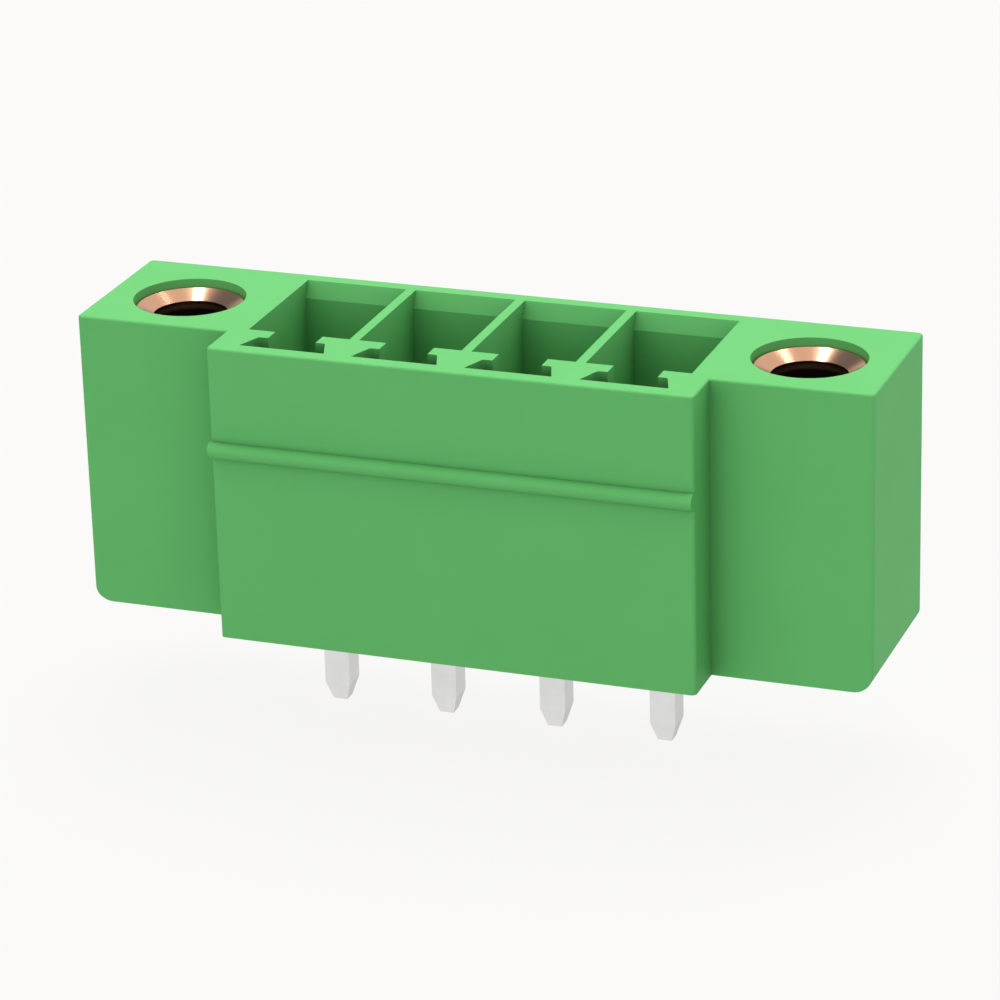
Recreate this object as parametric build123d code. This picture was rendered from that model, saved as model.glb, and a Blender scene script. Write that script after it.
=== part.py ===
from build123d import *
import os

# Upright board socket for a pluggable terminal block, with a threaded flange at each end.
# One moulded housing carries a row of square contact pins and two threaded bushes.
# Frame: origin on the board plane at the middle of the pin row, +X along the row,
# +Y towards the plain back wall, +Z the way the plug leaves. All sizes are in millimetres.

# Pin row
pole_count = 4
pitch = 3.5
pin_width = 0.8
pin_tip_width = 0.44
solder_length = 3.4
solder_taper = 0.6
contact_recess = 2.0
contact_taper = 0.45

# Housing outside
housing_height = 9.2
front_reach = 4.02
back_reach = 2.95
flange_length = 4.85
flange_step = 1.55
corner_radius = 0.16
edge_radius = 0.07
foot_radius = 0.6

# Latch rib across the front
rib_drop = 3.17
rib_height = 0.52
rib_proud = 0.28

# Cells and their keyed front ends
end_wall = 0.6
front_wall = 0.5
back_rim = 0.5
partition = 0.3
floor_thickness = 1.8
key_slot_depth = 0.8
wing_thickness = 0.55
wing_reach = 1.0
stem_foot_width = 0.84
stem_head_width = 1.4
stem_head_radius = 0.1
lead_in_depth = 0.25
lead_in_height = 0.5

# Threaded bushes and their pockets
bush_from_end = 2.6
pocket_radius = 1.71
pocket_taper = 0.02
bush_clearance = 0.01
bush_recess = 0.25
bush_length = 5.6
bush_rim = 0.07
bush_countersink = 0.26
thread_radius = 1.14
bush_groove_width = 0.7
bush_groove_depth = 0.18
bush_foot_chamfer = 0.2
screw_room_radius = 1.35
screw_room_depth = 1.2

# Places that follow from the sizes above
row_length = pole_count * pitch
shroud_length = row_length - partition + 2 * end_wall
overall_length = shroud_length + 2 * flange_length
overall_depth = front_reach + back_reach
shroud_front = -front_reach
flange_front = shroud_front + flange_step
back_face = back_reach
bush_x = overall_length / 2 - bush_from_end
bush_bottom = housing_height - bush_recess - bush_length
cell_depth = housing_height - floor_thickness
key_slot_front = shroud_front + front_wall
wing_front = key_slot_front + key_slot_depth
wing_back = wing_front + wing_thickness
cell_back = back_face - back_rim - lead_in_depth


def block(x_size, front, back, bottom, top):
    """A box centred on X, given by the planes of its other four sides."""
    middle = Pos(0, (front + back) / 2, (bottom + top) / 2)
    return middle * Box(x_size, back - front, top - bottom)


def span(x_size, front, back):
    """A rectangle on the plan, centred on X, from one depth to another."""
    return Pos(0, (front + back) / 2) * Rectangle(x_size, back - front)


def outer_body():
    """The stepped plan raised to full height, its two ends rounded where they meet the board.

    The outer corners of the plan are rounded, and the two inner ones at the flanges stay sharp.
    """
    shroud = span(shroud_length, shroud_front, back_face)
    shroud = fillet(shroud.vertices().group_by(Axis.Y)[0], corner_radius)
    flanges = span(overall_length, flange_front, back_face)
    flanges = fillet(flanges.vertices(), corner_radius)
    raised = extrude(shroud + flanges, housing_height)

    elevation = Pos(0, housing_height / 2) * Rectangle(overall_length, housing_height)
    feet = elevation.vertices().group_by(Axis.Y)[0]
    elevation = fillet(feet, foot_radius)
    slab = extrude(Plane.XZ * elevation, 2 * overall_depth, both=True)

    body = raised & slab
    brim = body.edges().group_by(Axis.Z)[-1]
    return fillet(brim, edge_radius)


def latch_rib():
    """A low rounded bead the full width of the shroud, rooted halfway into its front wall."""
    centre_height = housing_height - rib_drop
    bead = (rib_height**2 / 4 + rib_proud**2) / (2 * rib_proud)
    bead_centre = shroud_front - rib_proud + bead
    round_bar = Pos(0, bead_centre, centre_height) * Rot(0, 90, 0) * Cylinder(bead, shroud_length)
    keep = block(
        shroud_length,
        shroud_front - rib_proud,
        shroud_front + front_wall / 2,
        centre_height - rib_height / 2,
        centre_height + rib_height / 2,
    )
    return round_bar & keep


def cell_plan():
    """One cell seen from above: the contact well, the throat between two wings, and the key slot.

    The stem that carries the wings is widest at its head, so the key slot widens to the front.
    """
    foot = (pitch - stem_foot_width) / 2
    head = (pitch - stem_head_width) / 2
    outline = Polyline(
        (-foot, key_slot_front),
        (foot, key_slot_front),
        (head, wing_front),
        (-head, wing_front),
        close=True,
    )
    key_slot = make_face(outline)
    key_slot = fillet(key_slot.vertices().group_by(Axis.Y)[-1], stem_head_radius)
    throat = span(pitch - 2 * wing_reach, wing_front, wing_back)
    well = span(pitch - partition, wing_back, cell_back)
    return key_slot + throat + well


def cell_cutter():
    """The hollow of one cell, with the sloped lead-in at the top of its back wall."""
    hollow = Pos(0, 0, floor_thickness) * extrude(cell_plan(), cell_depth)
    slope = Polyline(
        (cell_back, housing_height),
        (cell_back + lead_in_depth, housing_height),
        (cell_back, housing_height - lead_in_height),
        close=True,
    )
    wedge = extrude(Plane.YZ * make_face(slope), (pitch - partition) / 2, both=True)
    return hollow + wedge


def bush_pocket():
    """The stepped blind hole of one flange: bush seat, then room for the end of the screw.

    Both are moulded round a core pin, so they narrow a little downwards to let it out.
    """
    seat_depth = housing_height - bush_bottom
    seat = Cone(pocket_radius - pocket_taper, pocket_radius, seat_depth)
    room = Cone(screw_room_radius - pocket_taper, screw_room_radius, screw_room_depth)
    seat_middle = bush_bottom + seat_depth / 2
    room_middle = bush_bottom - screw_room_depth / 2
    return Pos(0, 0, seat_middle) * seat + Pos(0, 0, room_middle) * room


def pin_hole():
    """The square hole that grips one pin in the floor."""
    return Pos(0, 0, floor_thickness / 2) * Box(pin_width, pin_width, floor_thickness)


def housing():
    """The whole green moulding."""
    body = outer_body() + latch_rib()
    for place in GridLocations(pitch, 0, pole_count, 1):
        body -= place * cell_cutter()
        body -= place * pin_hole()
    for side in (-1, 1):
        body -= Pos(side * bush_x, 0, 0) * bush_pocket()
    return body


def contact_pin():
    """One square pin: pointed contact end up in the cell, longer solder taper below the board."""
    top = housing_height - contact_recess
    shank = extrude(Plane.XY.offset(-solder_length + solder_taper) * Rectangle(pin_width, pin_width),
                    top - contact_taper + solder_length - solder_taper)
    ends = ((top - contact_taper, top), (-solder_length + solder_taper, -solder_length))
    pin = shank
    for root, tip in ends:
        pin += loft([
            Plane.XY.offset(root) * Rectangle(pin_width, pin_width),
            Plane.XY.offset(tip) * Rectangle(pin_tip_width, pin_tip_width),
        ])
    return pin


def threaded_bush():
    """One turned bush: countersunk mouth, plain bore at the thread, and a grip groove round its middle."""
    outside = pocket_radius - pocket_taper - bush_clearance
    top = housing_height - bush_recess
    middle = (bush_bottom + top) / 2
    groove = bush_groove_width / 2
    profile = Polyline(
        (thread_radius, bush_bottom),
        (outside - bush_foot_chamfer, bush_bottom),
        (outside, bush_bottom + bush_foot_chamfer),
        (outside, middle - groove),
        (outside - bush_groove_depth, middle - groove),
        (outside - bush_groove_depth, middle + groove),
        (outside, middle + groove),
        (outside, top),
        (outside - bush_rim, top),
        (thread_radius, top - bush_countersink),
        close=True,
    )
    return revolve(Plane.XZ * make_face(profile), Axis.Z)


def save(node, solid):
    """Write one sub-part as a STEP file named after it."""
    solid.label = node
    export_step(solid, f"parts/{node}.step")


os.makedirs("parts", exist_ok=True)
save("housing", housing())
for number, place in enumerate(GridLocations(pitch, 0, pole_count, 1), start=1):
    save(f"pin_{number}", place * contact_pin())
for name, side in (("left", -1), ("right", 1)):
    save(f"threaded_insert_{name}", Pos(side * bush_x, 0, 0) * threaded_bush())
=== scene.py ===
# %% [markdown]
# A board socket for a pluggable terminal block
#
# The real thing is a green plastic moulding about 25 mm long. Four tinned pins stand in
# its cells, and a copper-coloured threaded bush sits in the flange at each end. The solid
# model already holds every piece at its true size, so this lesson starts by loading it as
# a fixed frame. What is left to make is what a solid model leaves out: the cut threads,
# the finish of each surface, the light and the camera.

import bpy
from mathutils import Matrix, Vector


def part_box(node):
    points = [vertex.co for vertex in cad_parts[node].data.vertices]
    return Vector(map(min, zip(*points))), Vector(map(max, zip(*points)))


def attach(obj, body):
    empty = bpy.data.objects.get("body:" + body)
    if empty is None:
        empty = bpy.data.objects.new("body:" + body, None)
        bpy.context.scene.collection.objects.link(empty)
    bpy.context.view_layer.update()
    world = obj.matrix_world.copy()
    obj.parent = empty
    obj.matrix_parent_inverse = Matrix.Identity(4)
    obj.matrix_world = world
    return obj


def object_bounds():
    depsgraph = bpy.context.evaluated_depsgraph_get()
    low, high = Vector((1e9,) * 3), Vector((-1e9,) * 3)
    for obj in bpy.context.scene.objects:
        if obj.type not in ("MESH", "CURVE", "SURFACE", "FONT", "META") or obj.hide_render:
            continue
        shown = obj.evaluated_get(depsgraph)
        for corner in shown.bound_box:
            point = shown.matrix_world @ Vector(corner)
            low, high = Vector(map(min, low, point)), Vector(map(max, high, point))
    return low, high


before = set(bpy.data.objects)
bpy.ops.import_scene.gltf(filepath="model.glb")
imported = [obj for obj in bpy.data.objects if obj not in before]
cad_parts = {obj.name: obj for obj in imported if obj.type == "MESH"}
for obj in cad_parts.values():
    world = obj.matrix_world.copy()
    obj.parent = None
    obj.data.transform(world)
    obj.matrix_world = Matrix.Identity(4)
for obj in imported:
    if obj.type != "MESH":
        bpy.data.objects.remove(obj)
cad_low, cad_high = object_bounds()
print("pieces in the frame:", ", ".join(sorted(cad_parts)))

# %% Tools and units
import math

import bpy
from mathutils import Matrix, Vector

MM = 0.001


def to_mm(point):
    """A point in millimetres, for printing."""
    return tuple(round(c / MM, 2) for c in point)


print("the solid model runs from", to_mm(cad_low), "to", to_mm(cad_high), "mm")

# %% [markdown]
# Where things are
#
# Every later step asks the frame where a piece lies instead of repeating numbers. The
# origin is on the board plane, the pins stand in a row along X, and the plug leaves
# along Z. A bush is a turned ring, so the distance of its mesh points from its own axis
# tells how wide the bore is, and how deep the countersink at its mouth goes.

# %% Measure the pieces
SAME_RADIUS = 0.01 * MM
pin_names = sorted(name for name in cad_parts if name.startswith("pin_"))
bush_names = {side: f"threaded_insert_{side}" for side in ("left", "right")}
bush_boxes = {side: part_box(name) for side, name in bush_names.items()}
bush_centres = {side: (low + high) / 2 for side, (low, high) in bush_boxes.items()}
bush_low, bush_high = bush_boxes["left"]


def bore_of(side):
    """The radius of a bush's bore, and the height where its countersink starts."""
    centre = bush_centres[side]
    points = [v.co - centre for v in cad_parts[bush_names[side]].data.vertices]
    radii = [(p.xy.length, p.z + centre.z) for p in points]
    radius = min(r for r, _ in radii)
    foot = max(z for r, z in radii if r < radius + SAME_RADIUS)
    return radius, foot


bore_radius, bore_top = bore_of("left")
print("bushes at x =", [round(c.x / MM, 2) for c in bush_centres.values()], "mm")
print("bore radius", round(bore_radius / MM, 2), "mm, up to z =", round(bore_top / MM, 2), "mm")

# %% [markdown]
# The camera
#
# The picture is taken from in front, a little to the right and above, with a long lens.
# The values come from fitting the straight edges of the socket: the turn round the
# object, the height angle, a slight roll, and the distance. The camera is placed by three
# rotations, because that keeps each of those values readable.

# %% Place the camera
VIEW_TURN = math.radians(20.52)
VIEW_HEIGHT = math.radians(21.89)
VIEW_ROLL = math.radians(-1.60)
VIEW_DISTANCE = 129.98 * MM
VIEW_TARGET = Vector((0.095 * MM, 0, 3.714 * MM))
SENSOR_WIDTH = 36
LENS = 156.62

turn = Matrix.Rotation(VIEW_TURN, 4, "Z")
raise_up = Matrix.Rotation(math.pi / 2 - VIEW_HEIGHT, 4, "X")
roll = Matrix.Rotation(VIEW_ROLL, 4, "Z")
back_off = Matrix.Translation((0, 0, VIEW_DISTANCE))
camera_data = bpy.data.cameras.new("studio_camera")
camera_data.sensor_width = SENSOR_WIDTH
camera_data.lens = LENS
camera_data.clip_start = 10 * MM
camera_data.clip_end = 10
camera = bpy.data.objects.new("studio_camera", camera_data)
bpy.context.collection.objects.link(camera)
camera.matrix_world = Matrix.Translation(VIEW_TARGET) @ turn @ raise_up @ roll @ back_off
bpy.context.scene.camera = camera
print("camera at", to_mm(camera.matrix_world.translation), "mm")

# %% [markdown]
# Writing shader maths as Python
#
# A material is a web of nodes. They could be wired one by one in the shader editor, but
# even a short sum takes several Math nodes. So a small class wraps a socket, and an
# expression such as `grain * 0.2 + 0.4` adds those nodes by itself. Every other kind of
# node comes from one method, which sets the node first and then its sockets.


# %% A socket that can be calculated with
class Wire:
    """An output socket with arithmetic."""

    def __init__(self, web, socket):
        self.web = web
        self.socket = socket

    def _math(self, operation, first, second):
        return self.web.node("ShaderNodeMath", {0: first, 1: second}, operation=operation)

    def __add__(self, other):
        return self._math("ADD", self, other)

    def __radd__(self, other):
        return self._math("ADD", other, self)

    def __sub__(self, other):
        return self._math("SUBTRACT", self, other)

    def __rsub__(self, other):
        return self._math("SUBTRACT", other, self)

    def __mul__(self, other):
        return self._math("MULTIPLY", self, other)

    def __rmul__(self, other):
        return self._math("MULTIPLY", other, self)

    def __pow__(self, other):
        return self._math("POWER", self, other)

    def __rpow__(self, other):
        return self._math("POWER", other, self)


# %% A web of nodes
class Web:
    """A node tree, with one method that adds any node to it."""

    def __init__(self, tree):
        self.tree = tree

    def connect(self, socket, value):
        if isinstance(value, Wire):
            self.tree.links.new(value.socket, socket)
        else:
            socket.default_value = value

    def node(self, kind, inputs=None, out=0, **settings):
        made = self.tree.nodes.new(kind)
        for key, value in settings.items():
            setattr(made, key, value)
        for key, value in (inputs or {}).items():
            self.connect(made.inputs[key], value)
        return Wire(self, made.outputs[out])

    def mix(self, factor, first, second):
        return self.node("ShaderNodeMix", {0: factor, 6: first, 7: second}, out=2, data_type="RGBA")


# %% A material under construction
BUMP_DEPTH = 0.01 * MM


class Finish(Web):
    """A new material, with short names for the nodes that finishes are made of."""

    def __init__(self, name):
        self.material = bpy.data.materials.new(name)
        self.material.use_nodes = True
        super().__init__(self.material.node_tree)
        self.shader = self.tree.nodes["Principled BSDF"]

    def set(self, **sockets):
        for name, value in sockets.items():
            self.connect(self.shader.inputs[name.replace("_", " ")], value)

    def place(self, centre=(0, 0, 0), stretch=(1, 1, 1)):
        """Object coordinates in millimetres, measured from a centre."""
        where = self.node("ShaderNodeTexCoord", out="Object")
        scale = [s / MM for s in stretch]
        shift = [-c * s for c, s in zip(centre, scale)]
        return self.node("ShaderNodeMapping", {"Vector": where, "Location": shift, "Scale": scale})

    def noise(self, where, scale, detail=2.0, roughness=0.5):
        values = {"Vector": where, "Scale": scale, "Detail": detail, "Roughness": roughness}
        return self.node("ShaderNodeTexNoise", values)

    def bump(self, height, strength):
        """Small dents that the light sees and the shape doesn't have."""
        values = {"Height": height, "Strength": strength, "Distance": BUMP_DEPTH}
        return self.node("ShaderNodeBump", values)


# %% Colours and who wears them
def linear(red, green, blue):
    """A colour given as 0 to 255 screen values, as the linear values that shaders use."""
    shares = [c / 255 for c in (red, green, blue)]
    return [c / 12.92 if c < 0.04045 else ((c + 0.055) / 1.055) ** 2.4 for c in shares] + [1.0]


def wear(names, material):
    """Put a material on pieces of the solid model."""
    for name in names:
        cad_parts[name].material_slots[0].material = material
    print(material.name, "is worn by", ", ".join(names))


# %% [markdown]
# Green moulded polyamide
#
# The housing is dyed right through, with a satin skin copied from a spark-eroded mould.
# One flat colour would look like paint, and a picture of plastic would be stretched on
# some faces, so the skin is made of noise in three scales: slow cloudy flow marks in the
# colour, a fine pitting as bump, and a slight unevenness of gloss. It is matt enough that
# white walls around it hardly show, so its specular level is low.
#
# The green is also painted darker in the inner corners and cells. This is painted shade,
# standing in for the shade that falls there. Two Ambient Occlusion nodes find those
# places from the shape alone: one looks far and finds the cells and steps, the other looks
# little over a millimetre and finds the crevices, such as both sides of the rib.

# %% The plastic
GREEN = linear(112, 203, 118)
GREEN_CLOUD = linear(106, 198, 113)
# The near-black green that the painted shade darkens towards.
GREEN_PAINTED_SHADE = linear(4, 22, 6)
HOLLOW_REACH = 3.0 * MM
HOLLOW_SHADE_POWER = 0.38
CREVICE_REACH = 1.2 * MM
CREVICE_SHADE_POWER = 0.29
OPENNESS_RAYS = 5
FLOW_SCALE = 0.35
PIT_SCALE = 16.0
SATIN = 0.54


def openness(finish, reach):
    """How open each spot of the piece is, looking no further than the reach: 1 in the open."""
    return finish.node(
        "ShaderNodeAmbientOcclusion",
        {"Distance": reach},
        out="AO",
        samples=OPENNESS_RAYS,
        only_local=True,
    )


def green_plastic():
    finish = Finish("green_polyamide")
    where = finish.place()
    clouds = finish.noise(where, FLOW_SCALE, detail=3.0)
    pitting = finish.noise(where, PIT_SCALE, detail=3.0, roughness=0.6)
    skin = finish.mix(clouds, GREEN, GREEN_CLOUD)
    # Painted shade: the green darkens towards a near-black green in hollows and crevices.
    painted_hollow_shade = openness(finish, HOLLOW_REACH) ** HOLLOW_SHADE_POWER
    painted_crevice_shade = openness(finish, CREVICE_REACH) ** CREVICE_SHADE_POWER
    finish.set(
        Base_Color=finish.mix(painted_hollow_shade * painted_crevice_shade, GREEN_PAINTED_SHADE, skin),
        Roughness=SATIN + clouds * 0.06 + pitting * 0.05,
        Normal=finish.bump(pitting, 0.25),
        Specular_IOR_Level=0.15,
    )
    return finish.material


wear(["housing"], green_plastic())

# %% [markdown]
# Tinned pins
#
# The pins are square wire, tinned after drawing. Tin is a soft grey metal: bright, but
# never a mirror. The drawing die leaves faint lines along the wire. They are too fine to
# model, so noise stretched along Z gives them as bump. Seen nearly edge-on, such a metal
# mirrors a little less, which the specular tint gives: it makes the side faces of the pins
# darker than their fronts.

# %% The tin
TIN = linear(236, 236, 236)
TIN_SHADE = linear(224, 224, 225)
TIN_EDGE = (0.6, 0.6, 0.6, 1.0)
DRAWN_STRETCH = (1, 1, 0.06)
DRAWN_SCALE = 14.0
TIN_CLOUD_SCALE = 1.6
TIN_SHEEN = 0.34


def tinned_metal():
    finish = Finish("matt_tin")
    drawn = finish.noise(finish.place(stretch=DRAWN_STRETCH), DRAWN_SCALE, detail=3.0)
    cloud = finish.noise(finish.place(), TIN_CLOUD_SCALE)
    finish.set(
        Base_Color=finish.mix(cloud, TIN, TIN_SHADE),
        Metallic=1.0,
        Roughness=TIN_SHEEN + cloud * 0.14,
        Normal=finish.bump(drawn, 0.2),
        Specular_Tint=TIN_EDGE,
    )
    return finish.material


wear(pin_names, tinned_metal())

# %% [markdown]
# Turned bushes
#
# Each bush comes off an automatic lathe, so its faces carry fine rings about its own
# axis. Cut as real grooves, fifteen to the millimetre, they would need thousands of
# faces, so a sine wave over the distance from the axis gives them as bump. That distance
# is why each bush gets a material of its own, centred on it. Below the countersink the
# colour is painted dark and the metal made rougher: this is painted shade for the deep
# threaded bore.

# %% The copper alloy
COPPER = linear(222, 172, 140)
COPPER_SHADE = linear(210, 158, 124)
# The near-black brown of the painted shade in the bore.
PAINTED_BORE_SHADE = linear(44, 30, 26)
RINGS_PER_MM = 15
COPPER_CLOUD_SCALE = 1.2
SHADE_FADE_DEPTH = 0.3
BORE_ROUGHNESS = 0.55
MOUTH_SMOOTHING = 0.37


def turned_copper(side):
    centre = bush_centres[side]
    finish = Finish(f"turned_copper_{side}")
    where = finish.place(centre=(centre.x, centre.y, 0))
    flat = finish.node("ShaderNodeVectorMath", {0: where, 1: (1, 1, 0)}, operation="MULTIPLY")
    radius = finish.node("ShaderNodeVectorMath", {0: flat}, out="Value", operation="LENGTH")
    rings = finish.node("ShaderNodeMath", {0: radius * (math.tau * RINGS_PER_MM)}, operation="SINE")
    cloud = finish.noise(where, COPPER_CLOUD_SCALE)
    height = finish.node("ShaderNodeSeparateXYZ", {"Vector": where}, out="Z")
    mouth = bore_top / MM
    # Painted shade: below the mouth of the bore the copper darkens to a near-black brown.
    out_of_painted_shade = finish.node(
        "ShaderNodeMapRange",
        {"Value": height, "From Min": mouth - SHADE_FADE_DEPTH, "From Max": mouth},
        interpolation_type="SMOOTHSTEP",
    )
    unshaded_copper = finish.mix(cloud, COPPER, COPPER_SHADE)
    finish.set(
        Base_Color=finish.mix(out_of_painted_shade, PAINTED_BORE_SHADE, unshaded_copper),
        Metallic=1.0,
        Roughness=BORE_ROUGHNESS - out_of_painted_shade * MOUTH_SMOOTHING + cloud * 0.05,
        Normal=finish.bump(rings, 0.06),
    )
    return finish.material


copper = {side: turned_copper(side) for side in bush_boxes}
for side, name in bush_names.items():
    wear([name], copper[side])

# %% [markdown]
# The cut threads
#
# The solid model leaves the thread as a plain bore. Bump could fake it, but the edges of
# the turns would stay smooth, and an exported mesh would have no thread at all. A thread
# is one triangle carried round and along the axis, so it is modelled that way: a small
# triangle is added at the bore's wall, flattened to the depth of the thread, and wound up
# the bore by a Screw modifier. It stops short of both ends, as a tapped thread does behind
# its countersink. The second bush gets a copy with a mesh of its own.

# %% Size the thread
THREAD_PITCH = 0.45 * MM
THREAD_DEPTH = 0.14 * MM
ROOT_OVERLAP = 0.03 * MM
RIDGE_SHARE = 0.96
THREAD_STEPS = 40
SHARP_EDGE = math.radians(30)
ridge_width = THREAD_PITCH * RIDGE_SHARE
ridge_height = THREAD_DEPTH + ROOT_OVERLAP
thread_start = bush_low.z + THREAD_PITCH
thread_turns = int((bore_top - thread_start - THREAD_PITCH / 2) / THREAD_PITCH)
print("the thread makes", thread_turns, "turns of", THREAD_PITCH / MM, "mm")


# %% Draw the section of the thread
def deselect_all():
    bpy.ops.object.select_all(action="DESELECT")


def ridge_section():
    """A triangle standing in the XZ plane, its point towards the axis."""
    round_radius = ridge_width / math.sqrt(3)
    bpy.ops.mesh.primitive_circle_add(
        vertices=3,
        radius=round_radius,
        location=(0, 0, 0),
        rotation=(math.pi / 2, math.pi / 2, 0),
    )
    bpy.ops.object.transform_apply(rotation=True)
    ridge = bpy.context.object
    root = max(v.co.x for v in ridge.data.vertices)
    point = min(v.co.x for v in ridge.data.vertices)
    bpy.ops.object.mode_set(mode="EDIT")
    bpy.ops.mesh.select_all(action="SELECT")
    flatten = ridge_height / (root - point)
    bpy.ops.transform.resize(value=(flatten, 1, 1), center_override=(root, 0, 0))
    wall = bore_radius + ROOT_OVERLAP
    bpy.ops.transform.translate(value=(wall - root, 0, thread_start))
    bpy.ops.object.mode_set(mode="OBJECT")
    return ridge


# %% Wind it up the bore
def wind(ridge):
    """Carry the section up the bore, and close its two ends."""
    winding = ridge.modifiers.new("winding", "SCREW")
    winding.axis = "Z"
    winding.screw_offset = THREAD_PITCH
    winding.iterations = thread_turns
    winding.steps = winding.render_steps = THREAD_STEPS
    bpy.ops.object.modifier_apply(modifier="winding")
    bpy.ops.object.mode_set(mode="EDIT")
    bpy.ops.mesh.select_all(action="SELECT")
    bpy.ops.mesh.fill_holes(sides=3)
    bpy.ops.mesh.select_all(action="SELECT")
    bpy.ops.mesh.normals_make_consistent(inside=False)
    bpy.ops.object.mode_set(mode="OBJECT")
    bpy.ops.object.shade_smooth_by_angle(angle=SHARP_EDGE)


deselect_all()
thread = ridge_section()
wind(thread)
print("the thread has", len(thread.data.polygons), "faces")


# %% Put a thread in each bush
def fit_thread(side):
    """A copy of the thread, with its place in its own mesh."""
    piece = thread.copy()
    piece.data = thread.data.copy()
    piece.name = piece.data.name = f"thread_{side}"
    bpy.context.collection.objects.link(piece)
    centre = bush_centres[side]
    piece.data.transform(Matrix.Translation((centre.x, centre.y, 0)))
    piece.data.materials.append(copper[side])
    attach(piece, "root")
    return piece


threads = [fit_thread(side) for side in bush_boxes]
bpy.data.objects.remove(thread)
print("made", ", ".join(piece.name for piece in threads))

# %% [markdown]
# Rays that only look
#
# In a studio a white backdrop gets lamps of its own, set apart from those on the object.
# Here floor and room are white to the eye and to every shiny surface, but white walls all
# round would wash out the shading. More lamps for the backdrop would also light the
# socket, so both get two shaders instead: one for the rays that come from the camera or
# leave a mirror, and one for the rays that carry light from surface to surface.

# %% Tell the rays apart
WHITE = (1.0, 1.0, 1.0, 1.0)
BACKGROUND = linear(251, 250, 248)


def looking_rays(web):
    """1 for the rays that show a surface, 0 for the rays that light one."""
    seen_directly = web.node("ShaderNodeLightPath", out="Is Camera Ray")
    mirrored = web.node("ShaderNodeLightPath", out="Is Glossy Ray")
    passed_on = web.node("ShaderNodeLightPath", out="Is Transmission Ray")
    return seen_directly + mirrored + passed_on


# %% [markdown]
# Floor and backdrop
#
# The socket stands over a pale floor that runs on as the background. A bent backdrop of
# paper does this in a studio. The camera looks down steeply enough that a large plane
# fills the whole picture, so nothing has to be bent. The floor has some light of its own,
# seen by the looking rays only, which keeps the background clean. What is left of its
# grey paint takes the socket's soft shadow and sends a fair amount of light back up.

# %% Lay the floor
FLOOR_SIZE = 4.0
FLOOR_DROP = 0.05 * MM
FLOOR_PAINT = (0.4, 0.4, 0.4, 1.0)
FLOOR_GLOW = 0.86
GLOW_STRENGTH = 1.08


def pale_floor():
    finish = Finish("pale_floor")
    finish.tree.nodes.remove(finish.shader)
    paint = finish.node("ShaderNodeBsdfDiffuse", {"Color": FLOOR_PAINT})
    glow = finish.node("ShaderNodeEmission", {"Color": BACKGROUND, "Strength": GLOW_STRENGTH})
    share = looking_rays(finish) * FLOOR_GLOW
    blend = finish.node("ShaderNodeMixShader", {0: share, 1: paint, 2: glow})
    finish.connect(finish.tree.nodes["Material Output"].inputs["Surface"], blend)
    return finish.material


deselect_all()
bpy.ops.mesh.primitive_plane_add(size=FLOOR_SIZE, location=(0, 0, cad_low.z - FLOOR_DROP))
floor = bpy.context.object
floor.name = "floor"
floor.data.materials.append(pale_floor())
print("floor at z =", round(floor.location.z / MM, 2), "mm")

# %% [markdown]
# Light
#
# Soft boxes stand all round, so nothing throws a hard shadow. A picture of a studio wrapped
# round the scene would do the same, but with lamps each face can be set by its own one.
# The strongest hangs overhead and a little behind: it makes the top about twice as bright
# as the upright faces and leaves the back walls of the cells in shade. Weaker boxes low in
# front and at the back right lift the upright faces, and an even pale world fills the rest.
#
# The boxes are kept out of reflections, where they would clip to white. What the bushes
# mirror is set apart from them: pale walls with one dim corner, and two small lamps for the
# glints, which light nothing matt. Each power is given as the share of full white that a
# facing white surface receives.

# %% Directions
def direction(height, turn):
    """The way to a place in the room, from its height angle and its turn from the front."""
    up, round_z = math.radians(height), math.radians(turn)
    return Vector((math.cos(up) * math.sin(round_z), -math.cos(up) * math.cos(round_z), math.sin(up)))


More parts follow.
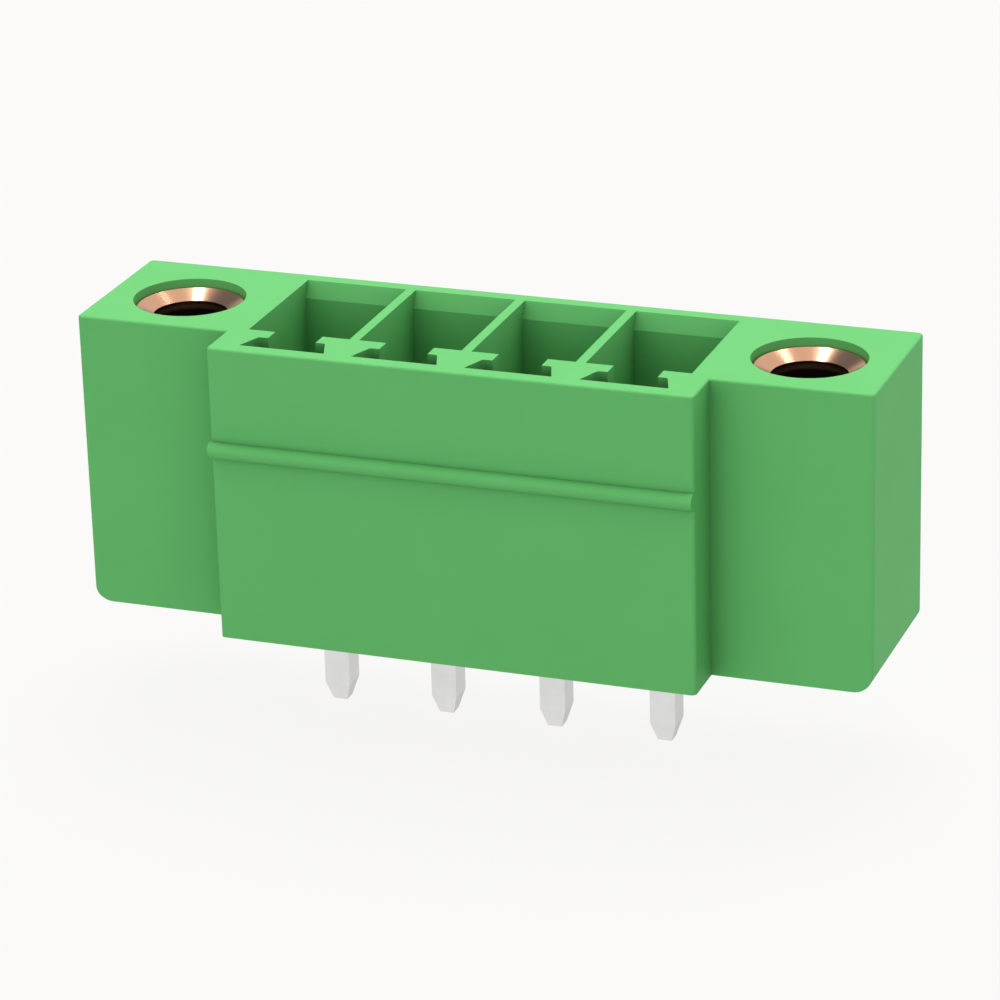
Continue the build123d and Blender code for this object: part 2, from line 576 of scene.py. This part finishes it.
# %% The dim corner of the room
WALL = (0.95, 0.95, 0.95, 1.0)
DIM_CORNER = (0.20, 0.24, 0.28, 1.0)
DIM_DIRECTION = direction(42, -124)
DIM_EDGE = math.radians(30)
DIM_CORE = math.radians(14)
world = bpy.data.worlds.new("pale_room")
bpy.context.scene.world = world
world.use_nodes = True
room = Web(world.node_tree)
room.tree.nodes.remove(room.tree.nodes["Background"])
outwards = room.node("ShaderNodeTexCoord", out="Generated")
pair = {0: outwards, 1: DIM_DIRECTION}
towards = room.node("ShaderNodeVectorMath", pair, out="Value", operation="DOT_PRODUCT")
edges = {"From Min": math.cos(DIM_EDGE), "From Max": math.cos(DIM_CORE), "Value": towards}
dimness = room.node("ShaderNodeMapRange", edges, interpolation_type="SMOOTHSTEP")
print("the dim corner lies towards", tuple(round(c, 2) for c in DIM_DIRECTION))

# %% What the room gives, and what it shows
FILL_SHARE = 0.52
fill = room.node("ShaderNodeBackground", {"Color": WHITE, "Strength": FILL_SHARE})
walls = room.node("ShaderNodeBackground", {"Color": room.mix(dimness, WALL, DIM_CORNER)})
seen = room.node("ShaderNodeMixShader", {0: looking_rays(room), 1: fill, 2: walls})
room.connect(room.tree.nodes["World Output"].inputs["Surface"], seen)
print("the room gives", FILL_SHARE, "of full white, and shiny metal sees it at", WALL[0])

# %% A soft lamp
LAMP_DISTANCE = 0.45
middle = (cad_low + cad_high) / 2


def add_lamp(name, height, turn, size, share):
    """A square soft lamp that looks at the socket."""
    data = bpy.data.lights.new(name, "AREA")
    data.shape = "SQUARE"
    data.size = size
    data.energy = share * (math.pi * LAMP_DISTANCE) ** 2
    lamp = bpy.data.objects.new(name, data)
    bpy.context.collection.objects.link(lamp)
    away = direction(height, turn)
    lamp.location = middle + away * LAMP_DISTANCE
    lamp.rotation_euler = away.to_track_quat("Z", "Y").to_euler()
    print(name, "gives", share, "of full white from", tuple(round(c, 2) for c in away))
    return lamp


# %% Hang the lamps
BOX_SIZE = 0.32
GLINT_SIZE = 0.04
boxes_around = [
    add_lamp("overhead_box", 90, 0, BOX_SIZE, 0.27),
    add_lamp("back_overhead_box", 65, 180, BOX_SIZE, 0.51),
    add_lamp("front_box", 12, 0, BOX_SIZE, 0.28),
    add_lamp("back_right_box", 12, 135, BOX_SIZE, 0.10),
]
for box in boxes_around:
    box.visible_glossy = False
glints = [
    add_lamp("left_glint", 72, -126, GLINT_SIZE, 0.10),
    add_lamp("right_glint", 60, 154, GLINT_SIZE, 0.03),
]
for glint in glints:
    glint.visible_diffuse = False

# %% [markdown]
# Finish
#
# The screen values should come out as they are painted, so the view transform is
# Standard.

# %% Set the view transform
bpy.context.scene.view_settings.view_transform = "Standard"
